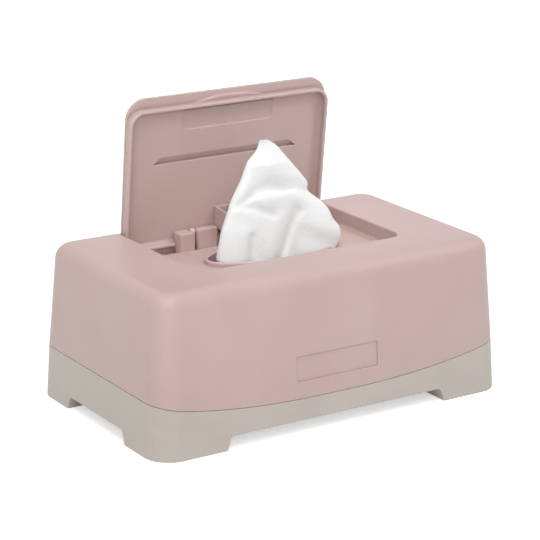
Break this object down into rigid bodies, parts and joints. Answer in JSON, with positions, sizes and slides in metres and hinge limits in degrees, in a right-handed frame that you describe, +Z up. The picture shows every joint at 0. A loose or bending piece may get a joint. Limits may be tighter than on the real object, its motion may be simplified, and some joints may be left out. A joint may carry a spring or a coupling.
{
  "type": "wipes dispenser box",
  "caption": "Free-standing moulded box that holds a stack of folded wipes, with a lift-off cover, a hinged lid and a raised oval opening to pull wipes through.",
  "frame": {"origin": "on the ground, under the middle of the box", "axes": "+X along the box's long side to the right, +Y from front to back, where the lid's hinge is, +Z up"},
  "size_m": [0.24, 0.1444, 0.1754],
  "materials": {
    "rose_plastic": "satin injection-moulded polypropylene",
    "taupe_plastic": "satin injection-moulded polypropylene",
    "pin_steel": "drawn steel wire",
    "wipe_cloth": "white nonwoven cloth, damp"
  },
  "bodies": {
    "tray": {"base_tray": "taupe_plastic", "wipe_stack": "wipe_cloth"},
    "cover": {"cover": "rose_plastic", "hinge_pin_left": "pin_steel", "hinge_pin_right": "pin_steel", "popped_wipe": "wipe_cloth"},
    "lid": {"lid": "rose_plastic"}
  },
  "joints": [
    {"name": "cover_lift", "type": "slide", "parent": "tray", "child": "cover", "axis": [0, 0, 1], "range_m": [0, 0.06]},
    {"name": "lid_hinge", "type": "hinge", "parent": "cover", "child": "lid", "pos_m": [0, 0.0542, 0.0882], "axis": [1, 0, 0], "range_deg": [0, 84.2], "deforming": ["popped_wipe"]}
  ]
}
